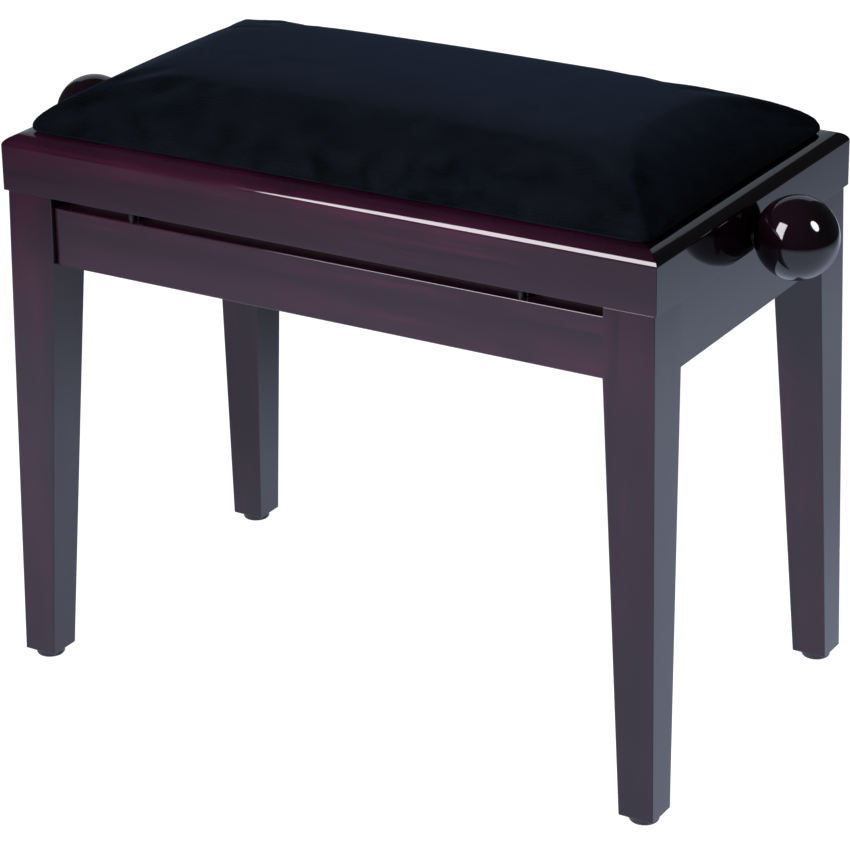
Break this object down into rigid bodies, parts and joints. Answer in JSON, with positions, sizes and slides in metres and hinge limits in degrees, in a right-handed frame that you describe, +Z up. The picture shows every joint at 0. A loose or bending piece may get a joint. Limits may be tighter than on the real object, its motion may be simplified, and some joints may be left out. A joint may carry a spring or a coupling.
{
  "type": "piano bench",
  "caption": "Adjustable piano bench: velour cushion on a mitred lacquered frame, raised and lowered by a knob-turned screw and scissor lift on tapered legs.",
  "frame": {"origin": "on the floor, under the middle of the seat", "axes": "+X along the seat's length and the spindle, towards the right-hand knob; +Y from the front long side to the rear; +Z up"},
  "size_m": [0.6834, 0.3272, 0.4866],
  "materials": {
    "lacquered_wood": "high-gloss dark mahogany lacquer",
    "velour": "black cotton velour with a short nap",
    "plywood": "plain plywood and beech, not lacquered",
    "zinc_steel": "zinc-plated",
    "black_steel": "black stove enamel",
    "bush_brass": "turned",
    "glide_plastic": "moulded, matte"
  },
  "bodies": {
    "base": {"leg_front_left": "lacquered_wood", "leg_front_right": "lacquered_wood", "leg_rear_left": "lacquered_wood", "leg_rear_right": "lacquered_wood", "apron_front": "lacquered_wood", "apron_rear": "lacquered_wood", "apron_left": "lacquered_wood", "apron_right": "lacquered_wood", "corner_bracket_front_left": "zinc_steel", "corner_bracket_front_right": "zinc_steel", "corner_bracket_rear_left": "zinc_steel", "corner_bracket_rear_right": "zinc_steel", "leg_bolt_front_left": "zinc_steel", "leg_bolt_front_right": "zinc_steel", "leg_bolt_rear_left": "zinc_steel", "leg_bolt_rear_right": "zinc_steel", "leg_nut_front_left": "zinc_steel", "leg_nut_front_right": "zinc_steel", "leg_nut_rear_left": "zinc_steel", "leg_nut_rear_right": "zinc_steel", "glide_front_left": "glide_plastic", "glide_front_right": "glide_plastic", "glide_rear_left": "glide_plastic", "glide_rear_right": "glide_plastic", "lower_rail_front": "black_steel", "lower_rail_rear": "black_steel"},
    "seat": {"frame_front": "lacquered_wood", "frame_rear": "lacquered_wood", "frame_left": "lacquered_wood", "frame_right": "lacquered_wood", "seat_board": "plywood", "corner_block_front_left": "plywood", "corner_block_front_right": "plywood", "corner_block_rear_left": "plywood", "corner_block_rear_right": "plywood", "seat_cushion": "velour", "upper_rail_front": "black_steel", "upper_rail_rear": "black_steel", "spindle_bush_left": "bush_brass", "spindle_bush_right": "bush_brass", "fixed_bar": "zinc_steel", "fixed_bar_ring_front": "zinc_steel", "fixed_bar_ring_rear": "zinc_steel"},
    "spindle": {"spindle": "zinc_steel", "thrust_collar_left": "zinc_steel", "thrust_collar_right": "zinc_steel", "knob_left": "lacquered_wood", "knob_right": "lacquered_wood"},
    "outer_arms": {"outer_arm_front": "black_steel", "outer_arm_rear": "black_steel", "crossing_rivet_front": "zinc_steel", "crossing_rivet_rear": "zinc_steel", "pivot_rod_left": "zinc_steel"},
    "threaded_bar": {"threaded_bar": "zinc_steel", "threaded_bar_ring_front": "zinc_steel", "threaded_bar_ring_rear": "zinc_steel"},
    "inner_arms": {"inner_arm_front": "black_steel", "inner_arm_rear": "black_steel", "sliding_rod_right": "zinc_steel"}
  },
  "joints": [
    {"name": "seat_lift", "type": "slide", "parent": "base", "child": "seat", "axis": [0, 0, 1], "range_m": [0, 0.095]},
    {"name": "spindle_turn", "type": "hinge", "parent": "seat", "child": "spindle", "pos_m": [0, 0, 0.41], "axis": [1, 0, 0], "range_deg": [0, 3300]},
    {"name": "outer_arms_swing", "type": "hinge", "parent": "base", "child": "outer_arms", "pos_m": [-0.16087, 0, 0.376], "axis": [0, -1, 0], "range_deg": [0, 18]},
    {"name": "threaded_bar_level", "type": "hinge", "parent": "outer_arms", "child": "threaded_bar", "pos_m": [0.15907, 0, 0.41], "axis": [0, 1, 0], "range_deg": [0, 18]},
    {"name": "inner_arms_swing", "type": "hinge", "parent": "seat", "child": "inner_arms", "pos_m": [-0.16087, 0, 0.41], "axis": [0, 1, 0], "range_deg": [0, 18]}
  ],
  "couplings": [
    {"joint": "spindle_turn", "follows": "seat_lift", "rad_per_m": 595.24},
    {"joint": "outer_arms_swing", "follows": "seat_lift", "rad_per_m": 3.2062},
    {"joint": "threaded_bar_level", "follows": "seat_lift", "rad_per_m": 3.2062},
    {"joint": "inner_arms_swing", "follows": "seat_lift", "rad_per_m": 3.2062}
  ]
}
